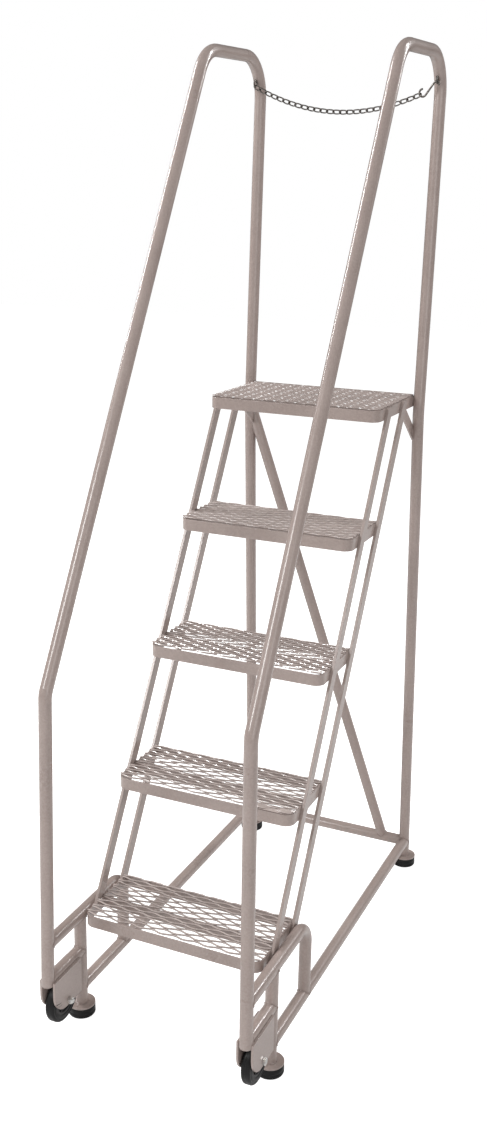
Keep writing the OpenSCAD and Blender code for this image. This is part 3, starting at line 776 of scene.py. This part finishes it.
for side, sign in SIDES:
    bm = bmesh.new()
    for start, along, main_point, main_dir in joints(side, sign):
        bead(bm, saddle(start, along, main_point, main_dir, TUBE_R), True)
    # A ring where each leg stands on its foot disc.
    rear, rear_dir = AXES[f"rear_leg_{side}"]
    for foot in (
        Vector((sign * BASE_X, FOOT_LEG_Y, LEG_BOTTOM)),
        line_at(rear, rear + rear_dir, LEG_BOTTOM),
    ):
        middle = foot + Z * 0.6 * MM
        bead(bm, [ring_point(middle, X, Y, a, TUBE_R + 0.3 * MM) for a in spin(72)], True)
    # A bead along the top edge of each wheel plate, behind the leg.
    leg, leg_dir = AXES[f"handrail_{side}"]
    behind_leg = line_at(leg, leg + leg_dir, WHEEL_TUBE_Z).y + TUBE_R * 0.7
    for face in ("inner", "outer"):
        lo, hi = corners(f"wheel_plate_{face}_{side}")
        away = 1 if (lo.x + hi.x) / 2 > sign * BASE_X else -1
        x = sign * BASE_X + away * (TUBE_R + 1.3 * MM)
        z = hi.z + 0.5 * MM
        bead(bm, [Vector((x, behind_leg, z)), Vector((x, hi.y - 2 * MM, z))])
    to_object(f"weld_beads_tubes_{side}", bm, weld, "ladder_frame")


def closest_on(a, d, b, e):
    """Point of line a+d nearest to line b+e."""
    d, e = d.normalized(), e.normalized()
    w = a - b
    k = d.dot(e)
    s = (k * e.dot(w) - d.dot(w)) / (1 - k * k)
    return a + d * s


bm = bmesh.new()
brace, brace_dir = AXES["diagonal_brace"]
BRACE_R = min(size("diagonal_brace").y / 2, 12.7 * MM)
crossbar = Vector((0, CROSS_Y, RAIL_Z))
for main, inward in ((AXES["rear_leg_left"], -brace_dir), ((crossbar, X), brace_dir)):
    main_point, main_dir = main
    start = closest_on(brace, brace_dir, main_point, main_dir)
    bead(bm, saddle(start, inward, main_point, main_dir, BRACE_R), True)
to_object("weld_beads_brace", bm, weld, "ladder_frame")


def upright(bm, x, y_low, y_high, z_low, z_high, radius):
    bead(bm, [Vector((x, y_low, z_low)), Vector((x, y_high, z_high))], False, radius)


def stringer_beads(bm, side, sign, which):
    """A bead down both edges of a stringer wherever it crosses a step's side."""
    bar = section_centre(f"stringer_{which}_{side}", 0.6)
    higher = section_centre(f"stringer_{which}_{side}", 1.0)
    slope = (higher.y - bar.y) / (higher.z - bar.z)
    # Half the bar's width measured along Y at one level.
    half = 12.7 * MM * math.sqrt(1 + slope * slope)
    for frame_node in STEP_FRAMES:
        lo, hi = corners(frame_node)
        z_low, z_high = lo.z + 1.5 * MM, hi.z - 1.0 * MM
        for edge in (-1, 1):
            beside = bar.y + edge * (half + 0.5 * MM)
            y_low, y_high = (beside + (z - bar.z) * slope for z in (z_low, z_high))
            if lo.y < y_low < hi.y and lo.y < y_high < hi.y:
                upright(bm, sign * (HALF_STEP + 0.6 * MM), y_low, y_high, z_low, z_high, 1.6 * MM)


bm = bmesh.new()
for side, sign in SIDES:
    stringer_beads(bm, side, sign, "front")
    stringer_beads(bm, side, sign, "rear")
    # Where the platform's side touches the rear leg.
    lo, hi = corners("platform_frame")
    leg = section_centre(f"rear_leg_{side}", lo.z + 5 * MM)
    x = sign * (HALF_STEP + 0.8 * MM)
    for y in (leg.y - 4.5 * MM, leg.y + 4.5 * MM):
        if y < hi.y:
            upright(bm, x, y, y, lo.z + 2 * MM, hi.z - 2 * MM, 1.8 * MM)
    # The gusset's lower end, on the rear leg.
    lo, hi = corners(f"platform_gusset_{side}")
    x = sign * (HALF_STEP + 4.4 * MM)
    upright(bm, x, hi.y - 5 * MM, hi.y - 7 * MM, lo.z + 3 * MM, lo.z + 28 * MM, 1.7 * MM)
to_object("weld_beads_steps", bm, weld, "ladder_frame")


# ---------- wheels ----------

WHEEL_R = size("wheel_tyre_right").z / 2
WHEEL_W = size("wheel_tyre_right").x
# Radius where the tyre sits on its hub.
TYRE_IN = 33 * MM


def in_mm(pairs):
    return [(a * MM, b * MM) for a, b in pairs]


def turned(bm, middle, half_profile, steps):
    """A ring about the X axis, the same on both sides, from (radius, along) points of one side."""
    full = half_profile + [(a, -b) for a, b in reversed(half_profile)]
    lathe(bm, middle, X, full + [full[0]], steps)


def tyre(side):
    """A rubber tyre: round shoulders, a step on each face and a shallow groove midway."""
    r, w, shoulder = WHEEL_R, WHEEL_W / 2, 5 * MM
    prof = [(TYRE_IN, -w + 1 * MM), (TYRE_IN + 1 * MM, -w + 0.2 * MM), (TYRE_IN + 4 * MM, -w)]
    prof += [(r - 8 * MM, -w), (r - 7.2 * MM, -w + 0.5 * MM), (r - 6.4 * MM, -w + 0.1 * MM)]
    for k in range(9):
        a = math.pi / 2 * k / 8
        prof.append((r - shoulder + shoulder * math.sin(a), -w + shoulder - shoulder * math.cos(a)))
    prof += [(r, -0.7 * MM), (r - 0.35 * MM, -0.35 * MM)]
    bm = bmesh.new()
    turned(bm, centre(f"wheel_tyre_{side}"), prof, 96)
    bmesh.ops.remove_doubles(bm, verts=bm.verts, dist=1e-6)
    name = f"wheel_tyre_{side}_moulded"
    obj = to_object(name, bm, tyre_rubber, f"wheel_{side}")
    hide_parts(f"wheel_tyre_{side}")


# Radius and distance from the middle plane, in mm, from the bore out to the tyre.
HUB_WEB = ((14.2, -6.0), (15.5, -5.0), (27.0, -5.0), (28.3, -6.0))
HUB_RIM = ((29.0, -8.3), (30.0, -9.0))
RIB = ((13.5, 4.6), (28.8, 4.6), (28.8, 7.4), (13.5, 8.6))
RIB_HALF = 1.4 * MM


def hub(side):
    """A plastic hub: boss, thin web with six ribs on each face, and a rim under the tyre."""
    c = centre(f"wheel_hub_{side}")
    half = size(f"wheel_hub_{side}").x / 2
    prof = [(4.9 * MM, -half), (12.2 * MM, -half), (13 * MM, -half + 0.8 * MM)]
    prof += in_mm(HUB_WEB + HUB_RIM) + [(TYRE_IN, -9 * MM)]
    bm = bmesh.new()
    turned(bm, c, prof, 72)
    for a in spin(6):
        out = Vector((0, math.cos(a), math.sin(a)))
        cross = Vector((0, -math.sin(a), math.cos(a)))
        for face in (-1, 1):
            middle = [c + out * r + X * face * x for r, x in in_mm(RIB)]
            low = [bm.verts.new(p - cross * RIB_HALF) for p in middle]
            high = [bm.verts.new(p + cross * RIB_HALF) for p in middle]
            join_rings(bm, low, high)
            cap(bm, low, high)
    bmesh.ops.remove_doubles(bm, verts=bm.verts, dist=1e-6)
    name = f"wheel_hub_{side}_ribbed"
    obj = to_object(name, bm, hub_plastic, f"wheel_{side}", 30)
    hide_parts(f"wheel_hub_{side}")


for side, _ in SIDES:
    tyre(side)
    hub(side)


# ---------- rubber feet ----------

def foot_pad(node):
    """A rubber foot: hollow underneath, with a soft lower edge and a moulding line round it."""
    c, s = centre(node), size(node)
    r, h = s.x / 2 - 0.02 * MM, s.z
    recess = 0.6 * MM
    prof = [(0, recess), (r - 12 * MM, recess), (r - 11 * MM, 0), (r - 2.2 * MM, 0)]
    prof += [(r - 0.8 * MM, 0.7 * MM), (r, 2.2 * MM)]
    prof += [(r, h * 0.42), (r - 0.35 * MM, h * 0.45), (r, h * 0.48)]
    prof += [(r, h - 1.4 * MM), (r - 0.5 * MM, h - 0.4 * MM), (r - 1.4 * MM, h), (0, h)]
    bm = bmesh.new()
    lathe(bm, Vector((c.x, c.y, 0)), Z, prof, 80)
    obj = to_object(f"{node}_moulded", bm, foot_rubber, "ladder_frame", 50)
    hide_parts(node)


for end in ("front", "rear"):
    for side, _ in SIDES:
        foot_pad(f"foot_pad_{end}_{side}")


# ---------- bolts and nuts ----------

def hexagon(bm, origin, axis, across, height, turn, bore=0.0):
    """A hexagonal nut or bolt head with both rims turned down, and a threaded bore if asked."""
    axis = Vector(axis).normalized()
    u = axis.orthogonal().normalized()
    v = axis.cross(u)
    corner = across / math.sqrt(3)
    angles = spin(72)
    sixth = math.pi / 3
    pitch = 0.9 * MM

    def ring(z, limit):
        """The hexagon at one level, with its corners cut back to the limit."""
        out = []
        for a in angles:
            flat = across / 2 / math.cos((a + sixth / 2) % sixth - sixth / 2)
            p = ring_point(origin + axis * z, u, v, a + turn, min(flat, limit))
            out.append(bm.verts.new(p))
        return out

    def circle(z, r):
        return [bm.verts.new(ring_point(origin + axis * z, u, v, a, r)) for a in angles]

    face_r = across * 0.49
    drop = height * 0.12
    levels = [(0.0, face_r), (drop / 2, (face_r + corner) / 2), (drop, corner)]
    rings = [ring(z, limit) for z, limit in levels]
    rings += [ring(height - z, limit) for z, limit in reversed(levels)]
    if bore > 0:
        rings.append(circle(height, bore * 1.12))
        turns = max(3, int(height / pitch))
        for k in range(turns):
            z = height * (1 - (k + 0.5) / turns)
            rings.append(circle(z, bore * (0.96 if k % 2 else 1.04)))
        rings.append(circle(0.0, bore * 1.12))
        rings.append(rings[0])
    else:
        cap(bm, rings[0], rings[-1])
    for low, high in zip(rings[:-1], rings[1:]):
        join_rings(bm, low, high)


def axle_shank():
    """Profile of an axle bolt below its head: plain to the nut's plate, then cut with a thread."""
    end = -PLATE_OUT - AXLE_TAIL
    prof = [(0, PLATE_OUT), (AXLE_R, PLATE_OUT), (AXLE_R, -PLATE_OUT + 2 * MM)]
    z = -PLATE_OUT + 1 * MM
    while z > end + 1.4 * MM:
        prof += [(AXLE_R - 0.45 * MM, z), (AXLE_R - 0.02 * MM, z - AXLE_PITCH / 2)]
        z -= AXLE_PITCH
    return prof + [(AXLE_R - 0.9 * MM, end), (0, end)]


AXLE_R = 4.7625 * MM
AXLE_TAIL = 11.3 * MM
AXLE_PITCH = 1.1 * MM
AXLE_HEAD = 6.2 * MM
AXLE_NUT = 8.3 * MM
AXLE_HEX = 14.29 * MM
EYE_HEX = 8.66 * MM
# Distance from the middle of a wheel to the outside of its plates.
PLATE_OUT = TUBE_R + size("wheel_plate_inner_right").x
bolts, nuts = bmesh.new(), bmesh.new()
for side, sign in SIDES:
    c = centre(f"wheel_hub_{side}")
    out = X * sign
    hexagon(bolts, c + out * PLATE_OUT, out, AXLE_HEX, AXLE_HEAD, rng.uniform(0, 1))
    lathe(bolts, c, out, axle_shank(), 40)
    hexagon(nuts, c - out * PLATE_OUT, -out, AXLE_HEX, AXLE_NUT, rng.uniform(0, 1), AXLE_R)
obj = to_object("axle_bolts_threaded", bolts, zinc, "ladder_frame", 30)
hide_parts("axle_bolts")
obj = to_object("axle_nuts_chamfered", nuts, zinc, "ladder_frame", 30)
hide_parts("axle_nuts")

bm = bmesh.new()
for points in islands("chain_eye_nuts"):
    lo = Vector([min(p[i] for p in points) for i in range(3)])
    hi = Vector([max(p[i] for p in points) for i in range(3)])
    mid = (lo + hi) / 2
    hexagon(bm, Vector((mid.x, lo.y, mid.z)), Y, EYE_HEX, hi.y - lo.y, rng.uniform(0, 1), 2.0 * MM)
obj = to_object("chain_eye_nuts_chamfered", bm, zinc, "ladder_frame", 30)
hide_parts("chain_eye_nuts")


# ---------- safety chain ----------

def long_axis(points):
    """Middle, long direction and half length of one link, read from its points."""
    mid = sum(points, Vector()) / len(points)
    first = max(points, key=lambda p: (p.xz - mid.xz).length)
    way = Vector((first.x - mid.x, 0, first.z - mid.z)).normalized()
    # The corner found first is off to one side, so the points of both ends are averaged.
    total = Vector()
    for p in points:
        along = (p - mid).dot(way)
        if abs(along) > 0.3 * (first - mid).length:
            total += (p - mid) * along
    total.y = 0.0
    way = total.normalized()
    if way.x < 0:
        way.negate()
    return mid, way, max(abs((p - mid).dot(way)) for p in points)


WIRE_R = 1.5 * MM
END_BEND = 4.0 * MM
# A link is twisted by this much from its middle to each end.
LINK_TWIST = math.radians(44)
END_STEPS = 14


def twisted_link(bm, mid, way, reach):
    up = Vector((-way.z, 0, way.x))
    half = reach - WIRE_R
    path = []
    for end in (1, -1):
        for k in range(END_STEPS + 1):
            a = -math.pi / 2 + math.pi * k / END_STEPS
            along = half - END_BEND + END_BEND * math.cos(a)
            path.append(Vector((end * along, end * END_BEND * math.sin(a), 0)))
    turned_by = rng.uniform(-0.08, 0.08)
    wire = []
    for p in resample(path, 1.1 * MM, True):
        twist = LINK_TWIST * p.x / half + turned_by
        wire.append(mid + way * p.x + up * p.y * math.cos(twist) + Y * p.y * math.sin(twist))
    sweep(bm, wire, WIRE_R, 10, True)


bm = bmesh.new()
for link in sorted((long_axis(g) for g in islands("chain_links")), key=lambda item: item[0].x):
    twisted_link(bm, *link)
obj = to_object("chain_links_twisted", bm, chain_steel, "safety_chain", 60)
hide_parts("chain_links")


# ---------- floor, light and camera ----------

FLOOR_HALF = 14.0
FLOOR_CELLS = 8
FLOOR_GLOW = 0.75


def stage_floor():
    """A wide pale floor that isn't part of the ladder."""
    m, t = material("pale_floor")
    co = object_coords(t)
    tone = clouded(t, noise(t, co, 1.5, 3.0), FLOOR_GREY, FLOOR_PALE)
    rough = remap(t, noise(t, co, 4.0, 2.0), 0.3, 0.7, 0.7, 0.85)
    p = principled(t, tone, rough, bump(t, noise(t, co, 60.0, 2.0), 0.02, 1 * MM), specular=0.1)
    # The floor glows a little for the camera only, so that it runs into the white backdrop.
    p.inputs["Emission Color"].default_value = (1, 1, 1, 1)
    seen = t.nodes.new("ShaderNodeLightPath").outputs["Is Camera Ray"]
    t.links.new(maths(t, "MULTIPLY", seen, FLOOR_GLOW), p.inputs["Emission Strength"])
    bm = bmesh.new()
    at = [FLOOR_HALF * (2 * i / FLOOR_CELLS - 1) for i in range(FLOOR_CELLS + 1)]
    grid = [[bm.verts.new((x, y, 0)) for y in at] for x in at]
    for i in range(FLOOR_CELLS):
        for j in range(FLOOR_CELLS):
            bm.faces.new((grid[i][j], grid[i + 1][j], grid[i + 1][j + 1], grid[i][j + 1]))
    mesh = bpy.data.meshes.new("floor")
    bm.to_mesh(mesh)
    bm.free()
    mesh.materials.append(m)
    obj = bpy.data.objects.new("floor", mesh)
    bpy.context.scene.collection.objects.link(obj)


stage_floor()


def softbox(name, at, look_z, width, height, watts):
    """A rectangular lamp that faces the ladder's middle at the given height."""
    data = bpy.data.lights.new(name, "AREA")
    data.shape = "RECTANGLE"
    data.size, data.size_y = width, height
    data.energy = watts
    obj = bpy.data.objects.new(name, data)
    obj.location = at
    obj.rotation_euler = (Z * look_z - Vector(at)).to_track_quat("-Z", "Y").to_euler()
    bpy.context.scene.collection.objects.link(obj)


softbox("key_left", (-2.2, -3.6, 3.4), 1.0, 1.4, 1.4, 80)
softbox("fill_right", (3.2, -3.0, 2.0), 0.9, 2.0, 2.6, 25)
softbox("rim_left", (-3.6, 0.5, 3.6), 1.1, 0.3, 2.6, 110)
softbox("rim_right", (2.3, 3.0, 3.7), 1.1, 0.3, 2.6, 80)

# Towards the bright side of the room that lights the ladder, and its strength there and opposite.
BRIGHT_SIDE = (0.33, -0.74, 0.58)
ROOM_BRIGHT = 0.56
ROOM_DIM = 0.08


def studio_world():
    """Plain white for the camera. The ladder is lit by a room, bright in front and above."""
    world = bpy.data.worlds.new("studio")
    bpy.context.scene.world = world
    world.use_nodes = True
    t = world.node_tree
    t.nodes.clear()
    seen = t.nodes.new("ShaderNodeBackground")
    seen.inputs["Color"].default_value = (1, 1, 1, 1)
    seen.inputs["Strength"].default_value = 1.0
    facing = t.nodes.new("ShaderNodeVectorMath")
    facing.operation = "DOT_PRODUCT"
    facing.inputs[1].default_value = BRIGHT_SIDE
    t.links.new(t.nodes.new("ShaderNodeTexCoord").outputs["Generated"], facing.inputs[0])
    lit = t.nodes.new("ShaderNodeBackground")
    lit.inputs["Color"].default_value = (1.0, 0.99, 0.98, 1)
    strength = remap(t, facing.outputs["Value"], -0.6, 1.0, ROOM_DIM, ROOM_BRIGHT)
    t.links.new(strength, lit.inputs["Strength"])
    both = t.nodes.new("ShaderNodeMixShader")
    out = t.nodes.new("ShaderNodeOutputWorld")
    t.links.new(t.nodes.new("ShaderNodeLightPath").outputs["Is Camera Ray"], both.inputs[0])
    t.links.new(lit.outputs[0], both.inputs[1])
    t.links.new(seen.outputs[0], both.inputs[2])
    t.links.new(both.outputs[0], out.inputs[0])


studio_world()

CAMERA_AT = (1.0204, -2.3734, 1.7164)
AZIMUTH = math.radians(23.99)
ELEVATION = math.radians(-16.59)
ROLL = math.radians(1.06)
LENS_MM = 39.51
forward = Vector((
    -math.sin(AZIMUTH) * math.cos(ELEVATION),
    math.cos(AZIMUTH) * math.cos(ELEVATION),
    math.sin(ELEVATION),
))
right = forward.cross(Z).normalized()
up = right.cross(forward)
cam_right = right * math.cos(ROLL) + up * math.sin(ROLL)
cam_up = up * math.cos(ROLL) - right * math.sin(ROLL)
turn = Matrix((cam_right, cam_up, -forward)).transposed()
camera = bpy.data.objects.new("camera", bpy.data.cameras.new("camera"))
camera.data.sensor_width = 36.0
camera.data.lens = LENS_MM
camera.data.clip_end = 60.0
camera.matrix_world = Matrix.Translation(CAMERA_AT) @ turn.to_4x4()
bpy.context.scene.collection.objects.link(camera)
bpy.context.scene.camera = camera
bpy.context.scene.view_settings.view_transform = "Standard"
